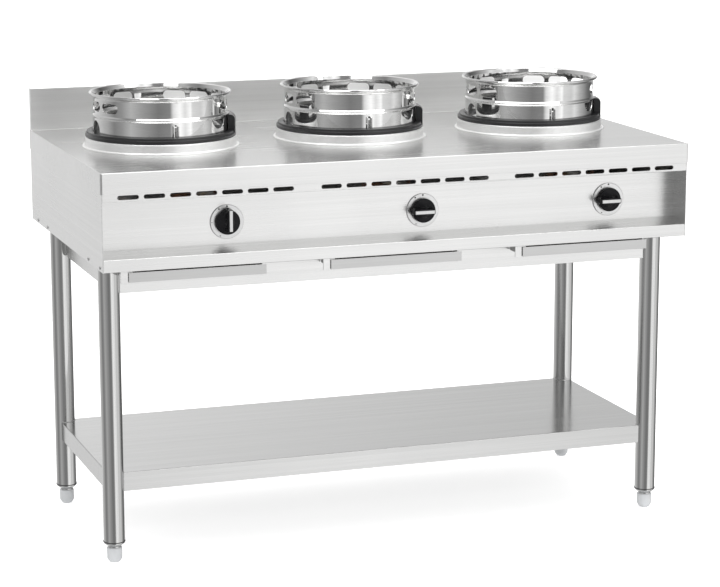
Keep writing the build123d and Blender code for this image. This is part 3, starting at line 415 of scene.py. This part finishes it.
# Which finish each solid piece has, by how its name begins; the longest match counts.
NODE_FINISH = {
    "worktop": "top", "backsplash": "splash", "side_panel": "sheet_y", "back_panel": "plain",
    "vent_rail": "sheet_x", "control_panel": "sheet_x", "front_rail": "sheet_x", "base_pan": "plain",
    "side_screws": "silver", "leg_rails": "sheet_x", "leg_plates": "plain", "leg_": "tube",
    "undershelf": "shelf", "shelf_stiffener": "plain", "foot_seals": "rubber", "foot_collars": "tube",
    "foot_": "foot", "burner_base": "base", "burner_caps": "iron", "burner_stands": "zinc",
    "burner_": "iron", "ring_seat": "enamel", "wok_ring": "ring", "pilot": "brass",
    "thermocouples": "copper", "gas_manifold": "zinc", "inlet_pipe": "zinc", "gas_valves": "brass",
    "feed_pipes": "copper", "dial_plates": "dial", "spindle": "brass", "knob": "knob",
    "grip_bar": "silver", "drip_tray": "lip", "tray_runners": "sheet_x",
}
FINISHES = {}


def dress(obj, finish):
    """Give an object one finish."""
    obj.data.materials.clear()
    obj.data.materials.append(FINISHES[finish])


# ------------------------------------------------------------------ mesh helpers
def place_piece(name, bm, finish, body):
    """Turn a bmesh into a piece that rides on a body."""
    bmesh.ops.remove_doubles(bm, verts=bm.verts, dist=1e-6)
    bmesh.ops.recalc_face_normals(bm, faces=bm.faces)
    mesh = bpy.data.meshes.new(name)
    bm.to_mesh(mesh)
    bm.free()
    for face in mesh.polygons:
        face.use_smooth = True
    mesh.set_sharp_from_angle(angle=SHARP_ANGLE)
    piece = bpy.data.objects.new(name, mesh)
    bpy.context.scene.collection.objects.link(piece)
    dress(piece, finish)
    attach(piece, body)
    return piece


def circle(steps):
    """Angles evenly round a full turn."""
    return [2 * math.pi * k / steps for k in range(steps)]


def skin(bm, rings, caps=True):
    """Join closed rings of points into a skin, with its two ends closed if asked."""
    rows = [[bm.verts.new(p) for p in ring] for ring in rings]
    count = len(rows[0])
    for a, b in zip(rows, rows[1:]):
        for i in range(count):
            j = (i + 1) % count
            bm.faces.new((a[i], a[j], b[j], b[i]))
    if caps:
        bm.faces.new(list(reversed(rows[0])))
        bm.faces.new(rows[-1])


def turned(bm, profile, move, steps, caps=True):
    """Turn an (r, h) profile; move makes a point from (x, y, h)."""
    rings = [[move(r * math.cos(a), r * math.sin(a), h) for a in circle(steps)] for r, h in profile]
    skin(bm, rings, caps)


def weld_bead(bm, path, radius):
    """A weld bead along points, rippled and thinner at both ends."""
    ripple, swell, end_share, sides = 0.0016, 0.14, 0.35, 8
    rings = []
    travelled = 0.0
    for i, point in enumerate(path):
        ahead = path[min(i + 1, len(path) - 1)] - path[max(i - 1, 0)]
        ahead.normalize()
        across = ahead.orthogonal().normalized()
        up = ahead.cross(across)
        if i:
            travelled += (point - path[i - 1]).length
        share = end_share if i in (0, len(path) - 1) else 1.0
        r = radius * share * (1.0 + swell * math.sin(math.pi * travelled / ripple))
        rings.append([point + (across * math.cos(a) + up * math.sin(a)) * r for a in circle(sides)])
    skin(bm, rings)


def along(a, b):
    """Points from a to b, close enough for a bead's ripple."""
    a, b, step = Vector(a), Vector(b), 0.0008
    count = max(2, int((b - a).length / step))
    return [a.lerp(b, i / count) for i in range(count + 1)]


def node_centre(name):
    """Middle of a solid piece's box."""
    low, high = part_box(name)
    return (low + high) / 2


# ------------------------------------------------------------------ operators
class WOK_OT_finishes(bpy.types.Operator):
    """Make the materials and put one on each solid piece"""
    bl_idname = "wok.finishes"
    bl_label = "Finishes"

    def execute(self, context):
        FINISHES.update(make_finishes(context.scene.wok_finish))
        for name, obj in NODES.items():
            keys = [k for k in NODE_FINISH if name.startswith(k)]
            if not keys:
                raise RuntimeError(f"no finish is listed for {name}")
            dress(obj, NODE_FINISH[max(keys, key=len)])
        return {"FINISHED"}


class WOK_OT_knobs(bpy.types.Operator):
    """Make each knob with its scooped grip and pointer"""
    bl_idname = "wok.knobs"
    bl_label = "Knobs"

    def execute(self, context):
        for place, angle in zip(PLACES, KNOB_ANGLES):
            low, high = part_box(f"knob_{place}")
            axis = node_centre(f"spindle_{place}")
            self.knob(context.scene.wok_detail, place, axis, angle, low.y, high.y)
        return {"FINISHED"}

    def knob(self, s, place, axis, angle, front, back):
        """One knob, drawn pointing up and turned to its rest angle."""
        cosine, sine = math.cos(angle), math.sin(angle)
        face = back - KNOB_SKIRT

        def put(x, z, y):
            return (axis.x + x * cosine - z * sine, y, axis.z + x * sine + z * cosine)

        bm = bmesh.new()
        turned(bm, DISC_PROFILE, lambda x, z, h: put(x, z, face - h), KNOB_STEPS)
        self.grip(bm, s, put, front, face)
        self.pointer(bm, put, back)
        piece = place_piece(f"knob_skin_{place}", bm, "knob", f"knob_{place}")
        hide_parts(f"knob_{place}")

    def grip(self, bm, s, put, front, face):
        """Ridge across the disc: hollow flanks, blunt tail and narrower nose."""
        cuts, flank_steps = 24, 8
        nose_start, tail_end = 0.72, 0.12
        low, top = face + 0.003, front + 0.0008
        rings = []
        for k in range(cuts + 1):
            t = k / cuts
            z = -s.grip_tail + t * (s.grip_tail + s.grip_nose)
            nose = max(0.0, (t - nose_start) / (1.0 - nose_start))
            tail = max(0.0, (tail_end - t) / tail_end)
            half = s.grip_half - 0.0016 * nose ** 2 - 0.0018 * tail ** 2
            crown = top + 0.0016 * nose ** 2 + 0.0022 * tail ** 2
            flare = s.grip_flare * (1.0 - 0.8 * nose) * (1.0 - 0.9 * tail)
            side = []
            for i in range(flank_steps + 1):
                u = i / flank_steps
                side.append((half + flare * (1.0 - u) ** 3, low + (crown - low) * u))
            side.append((half - 0.0007, crown - 0.0005))
            side.append((half - 0.0016, crown - 0.0008))
            rings.append([put(x, z, y) for x, y in side] + [put(-x, z, y) for x, y in reversed(side)])
        skin(bm, rings)

    def pointer(self, bm, put, back):
        """Small wedge at the rim that shows the setting."""
        foot, slope, bevel = 0.0004, 0.0010, 0.0008
        rings = []
        for z, half, rise in POINTER_CUTS:
            rings.append([put(-half, z, back - foot), put(half, z, back - foot),
                          put(half, z, back - rise + slope), put(half - bevel, z, back - rise),
                          put(-half + bevel, z, back - rise), put(-half, z, back - rise + slope)])
        skin(bm, rings)


class WOK_OT_dials(bpy.types.Operator):
    """Print the setting dots on the dial plates"""
    bl_idname = "wok.dials"
    bl_label = "Dial marks"

    def execute(self, context):
        bm = bmesh.new()
        circle_radius = context.scene.wok_detail.dot_circle
        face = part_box("dial_plates")[0].y
        for place in PLACES:
            axis = node_centre(f"spindle_{place}")
            for degrees, radius in DIAL_DOTS:
                a = math.radians(90 + degrees)
                x, z = axis.x + circle_radius * math.cos(a), axis.z + circle_radius * math.sin(a)
                profile = [(radius, face + 0.0002), (radius, face - 0.0001),
                           (radius * 0.8, face - 0.00018)]
                turned(bm, profile, lambda u, v, h, x=x, z=z: (x + u, h, z + v), DOT_STEPS)
        place_piece("dial_marks", bm, "knob", "frame")
        return {"FINISHED"}


class WOK_OT_screws(bpy.types.Operator):
    """Make the pan-head screws along the side panels"""
    bl_idname = "wok.screws"
    bl_label = "Side screws"

    def execute(self, context):
        low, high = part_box("side_screws")
        reach = high.x - context.scene.wok_detail.screw_rise
        z = (low.z + high.z) / 2
        bm = bmesh.new()
        for y in self.screw_places():
            for side in (-1, 1):
                self.screw(bm, side, side * reach, y, z)
        piece = place_piece("side_screw_heads", bm, "silver", "frame")
        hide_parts("side_screws")
        return {"FINISHED"}

    def screw_places(self):
        """Where the solid screws stand along y, from gaps between their points."""
        least_gap = 0.02
        groups = []
        for y in sorted({round(v.co.y, 3) for v in NODES["side_screws"].data.vertices}):
            if not groups or y - groups[-1][-1] > least_gap:
                groups.append([y])
            else:
                groups[-1].append(y)
        return [(group[0] + group[-1]) / 2 for group in groups]

    def screw(self, bm, side, x, y, z):
        """Domed head with a round socket."""
        def put(u, v, h):
            return (x + side * h, y + u, z + v)

        turned(bm, HEAD_PROFILE, put, SCREW_STEPS, caps=False)
        turned(bm, SOCKET_PROFILE, put, SCREW_STEPS, caps=False)
        radius, depth = SOCKET_PROFILE[-1]
        bm.faces.new([bm.verts.new(put(radius * math.cos(a), radius * math.sin(a), depth))
                      for a in circle(SCREW_STEPS)])


class WOK_OT_welds(bpy.types.Operator):
    """Lay the weld beads at the legs and on the shelf"""
    bl_idname = "wok.welds"
    bl_label = "Weld beads"

    def execute(self, context):
        s = context.scene.wok_detail
        bm = bmesh.new()
        rail_low, rail_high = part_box("leg_rails")
        shelf_low, shelf_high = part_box("undershelf")
        for corner in CORNERS:
            low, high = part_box(f"leg_{corner}")
            axis = (low + high) / 2
            radius = (high.x - low.x) / 2
            self.leg_beads(bm, axis, radius, rail_low, rail_high, s.leg_bead)
            self.shelf_bead(bm, axis, radius, shelf_low, shelf_high, s.shelf_bead)
        place_piece("weld_beads", bm, "silver", "frame")
        return {"FINISHED"}

    def leg_beads(self, bm, axis, radius, low, high, bead):
        """Upright beads where two rails meet a leg."""
        bottom_gap, top_gap, proud = 0.002, 0.004, 0.0001
        face_x = low.x if axis.x < 0 else high.x
        face_y = low.y if axis.y < 0 else high.y
        inward_x, inward_y = -math.copysign(1, axis.x), -math.copysign(1, axis.y)
        reach = radius + proud
        x = axis.x + inward_x * math.sqrt(reach ** 2 - (face_y - axis.y) ** 2)
        y = axis.y + inward_y * math.sqrt(reach ** 2 - (face_x - axis.x) ** 2)
        for px, py in ((x, face_y), (face_x, y)):
            path = along((px, py, low.z + bottom_gap), (px, py, high.z - top_gap))
            weld_bead(bm, path, bead)

    def shelf_bead(self, bm, axis, radius, low, high, bead):
        """Bead round a leg where the shelf is notched for it."""
        proud, margin = 0.0002, 0.002
        towards_middle = math.atan2(-axis.y, -axis.x)
        points = []
        for k in range(361):
            a = math.radians(k - 180.0) + towards_middle
            x = axis.x + (radius + proud) * math.cos(a)
            y = axis.y + (radius + proud) * math.sin(a)
            if low.x + margin < x < high.x - margin and low.y + margin < y < high.y - margin:
                points.append(Vector((x, y, high.z + proud)))
        weld_bead(bm, points, bead)


class WOK_OT_ring_clips(bpy.types.Operator):
    """Make the folded edges beside each wok ring's seam"""
    bl_idname = "wok.ring_clips"
    bl_label = "Ring seams"

    def execute(self, context):
        s = context.scene.wok_detail
        for place in PLACES:
            low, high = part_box(f"wok_ring_{place}")
            centre = (low + high) / 2
            bm = bmesh.new()
            for side in (-1, 1):
                foot = Vector((centre.x, centre.y, low.z))
                self.flange(bm, foot, s.seam_radius, s.seam_angle + side * s.seam_half, side)
            place_piece(f"ring_clip_{place}", bm, "ring", f"ring_{place}")
        return {"FINISHED"}

    def flange(self, bm, centre, radius, angle, side):
        """A folded edge beside the seam's slot."""
        out = Vector((math.cos(angle), math.sin(angle), 0.0))
        away = Vector((-math.sin(angle), math.cos(angle), 0.0)) * side
        base = centre + out * radius
        rings = []
        for height, fold in FOLD_CUTS:
            corners = [base, base + away * 0.0040, base + away * 0.0036 + out * fold * 0.5,
                       base + away * 0.0012 + out * (fold + 0.0012), base + out * (fold + 0.0010)]
            rings.append([corner + Vector((0.0, 0.0, height)) for corner in corners])
        skin(bm, rings)


class WOK_OT_studio(bpy.types.Operator):
    """Make the floor, the backdrop, the lights and the camera"""
    bl_idname = "wok.studio"
    bl_label = "Studio"

    def execute(self, context):
        s = context.scene.wok_studio
        self.backdrop(s)
        self.lights()
        self.world(context)
        self.camera(context, s)
        return {"FINISHED"}

    def backdrop(self, s):
        """Floor that sweeps up into a wall behind."""
        mesh = bpy.data.meshes.new("backdrop")
        bm = bmesh.new()
        profile = [(FLOOR_FRONT, 0.0), (BEND_START, 0.0)]
        for i in range(1, BEND_STEPS + 1):
            a = math.radians(90.0 * i / BEND_STEPS)
            profile.append((BEND_START + BEND_RADIUS * math.sin(a),
                            BEND_RADIUS - BEND_RADIUS * math.cos(a)))
        profile.append((BEND_START + BEND_RADIUS, WALL_TOP))
        rows = [[bm.verts.new((x, y, z)) for y, z in profile]
                for x in (-BACKDROP_HALF, BACKDROP_HALF)]
        for i in range(len(profile) - 1):
            face = bm.faces.new((rows[0][i], rows[1][i], rows[1][i + 1], rows[0][i + 1]))
            face.smooth = True
        bm.to_mesh(mesh)
        bm.free()
        floor = bpy.data.objects.new("backdrop", mesh)
        bpy.context.scene.collection.objects.link(floor)
        material, tree, output = new_tree("Pale backdrop")
        place = node(tree, "ShaderNodeTexCoord")
        clouds = node(tree, "ShaderNodeTexNoise", {"Vector": place.outputs["Object"], "Scale": 1.5})
        tone = node(tree, "ShaderNodeMapRange", {"Value": clouds.outputs["Fac"], "To Min": 0.985,
                                                 "To Max": 1.015})
        dyed = node(tree, "ShaderNodeVectorMath", {0: tuple(s.backdrop_colour)}, operation="SCALE")
        tree.links.new(tone.outputs["Result"], dyed.inputs["Scale"])
        shader = node(tree, "ShaderNodeBsdfPrincipled", {
            "Base Color": dyed.outputs[0], "Roughness": 0.9, "Emission Color": (1.0, 1.0, 1.0, 1.0),
            "Emission Strength": 0.5})
        tree.links.new(shader.outputs["BSDF"], output.inputs["Surface"])
        mesh.materials.append(material)
        floor.visible_glossy = False

    def lights(self):
        """Soft boxes above and in front."""
        for name, eye, aim, width, height, power, in_gloss in LAMPS:
            light = bpy.data.lights.new(name, "AREA")
            light.shape = "RECTANGLE"
            light.size = width
            light.size_y = height
            light.energy = power
            lamp = bpy.data.objects.new(name, light)
            bpy.context.scene.collection.objects.link(lamp)
            lamp.location = eye
            lamp.rotation_euler = (Vector(aim) - Vector(eye)).to_track_quat("-Z", "Y").to_euler()
            lamp.visible_glossy = in_gloss

    def world(self, context):
        """White surroundings, with screens of several greys round about for the gloss."""
        world = bpy.data.worlds.new("Soft studio")
        world.use_nodes = True
        tree = world.node_tree
        tree.nodes.clear()
        place = node(tree, "ShaderNodeTexCoord")
        parts = node(tree, "ShaderNodeSeparateXYZ", {0: place.outputs["Generated"]})
        back = node(tree, "ShaderNodeMath", {0: parts.outputs["Y"], 1: -1.0}, operation="MULTIPLY")
        bearing = node(tree, "ShaderNodeMath", {0: parts.outputs["X"], 1: back.outputs[0]},
                       operation="ARCTAN2")
        turn = node(tree, "ShaderNodeMapRange", {"Value": bearing.outputs[0], "From Min": -math.pi,
                                                 "From Max": math.pi})
        ramp = node(tree, "ShaderNodeValToRGB", {"Fac": turn.outputs["Result"]})
        bands = ramp.color_ramp
        for end, (_, tone) in zip(bands.elements, (SCREENS[0], SCREENS[-1])):
            end.color = (tone, tone, tone, 1.0)
        for degrees, tone in SCREENS[1:-1]:
            bands.elements.new((degrees + 180.0) / 360.0).color = (tone, tone, tone, 1.0)
        rise = node(tree, "ShaderNodeValToRGB", {"Fac": parts.outputs["Z"]})
        levels = rise.color_ramp
        levels.elements[0].position = 0.0
        levels.elements[0].color = (HORIZON_TONE, HORIZON_TONE, HORIZON_TONE, 1.0)
        levels.elements[1].position = 1.0
        levels.elements[1].color = (1.0, 1.0, 1.0, 1.0)
        for position, tone in SKY_TONES:
            levels.elements.new(position).color = (tone, tone, tone, 1.0)
        seen = node(tree, "ShaderNodeMixRGB", {"Fac": 1.0, "Color1": ramp.outputs["Color"],
                                               "Color2": rise.outputs["Color"]}, blend_type="MULTIPLY")
        gloss = node(tree, "ShaderNodeBackground", {"Color": seen.outputs["Color"],
                                                       "Strength": GLOSS_STRENGTH})
        even = node(tree, "ShaderNodeBackground", {"Color": (1.0, 1.0, 1.0, 1.0), "Strength": 1.0})
        path = node(tree, "ShaderNodeLightPath")
        mixed = node(tree, "ShaderNodeMixShader", {0: path.outputs["Is Glossy Ray"], 1: even.outputs[0],
                                                   2: gloss.outputs[0]})
        node(tree, "ShaderNodeOutputWorld", {"Surface": mixed.outputs[0]})
        context.scene.world = world
        context.scene.view_settings.view_transform = "Standard"

    def camera(self, context, s):
        """Camera at the front left, a little above the worktop."""
        forward = Vector((math.sin(s.yaw) * math.cos(s.pitch), math.cos(s.yaw) * math.cos(s.pitch),
                          -math.sin(s.pitch)))
        right = Vector((math.cos(s.yaw), -math.sin(s.yaw), 0.0))
        up = right.cross(forward)
        side = right * math.cos(s.roll) + up * math.sin(s.roll)
        top = up * math.cos(s.roll) - right * math.sin(s.roll)
        data = bpy.data.cameras.new("camera")
        data.sensor_fit = "HORIZONTAL"
        data.sensor_width = 36.0
        data.lens = s.lens
        data.clip_end = 60.0
        camera = bpy.data.objects.new("camera", data)
        context.scene.collection.objects.link(camera)
        turn = Matrix((side, top, -forward)).transposed()
        camera.matrix_world = Matrix.Translation(Vector(s.eye)) @ turn.to_4x4()
        context.scene.camera = camera


class WOK_PT_range(bpy.types.Panel):
    """Buttons for the range's pieces"""
    bl_label = "Wok range"
    bl_idname = "WOK_PT_range"
    bl_space_type = "VIEW_3D"
    bl_region_type = "UI"
    bl_category = "Wok range"

    def draw(self, context):
        for step in STEPS:
            self.layout.operator(step.bl_idname)


STEPS = (WOK_OT_finishes, WOK_OT_knobs, WOK_OT_dials, WOK_OT_screws, WOK_OT_welds,
         WOK_OT_ring_clips, WOK_OT_studio)
CLASSES = (FinishSettings, DetailSettings, StudioSettings) + STEPS + (WOK_PT_range,)


def register():
    for made in CLASSES:
        bpy.utils.register_class(made)
    bpy.types.Scene.wok_finish = bpy.props.PointerProperty(type=FinishSettings)
    bpy.types.Scene.wok_detail = bpy.props.PointerProperty(type=DetailSettings)
    bpy.types.Scene.wok_studio = bpy.props.PointerProperty(type=StudioSettings)


def unregister():
    del bpy.types.Scene.wok_studio
    del bpy.types.Scene.wok_detail
    del bpy.types.Scene.wok_finish
    for made in reversed(CLASSES):
        bpy.utils.unregister_class(made)


def main():
    register()
    for step in STEPS:
        group, action = step.bl_idname.split(".")
        getattr(getattr(bpy.ops, group), action)()


if __name__ == "__main__":
    main()
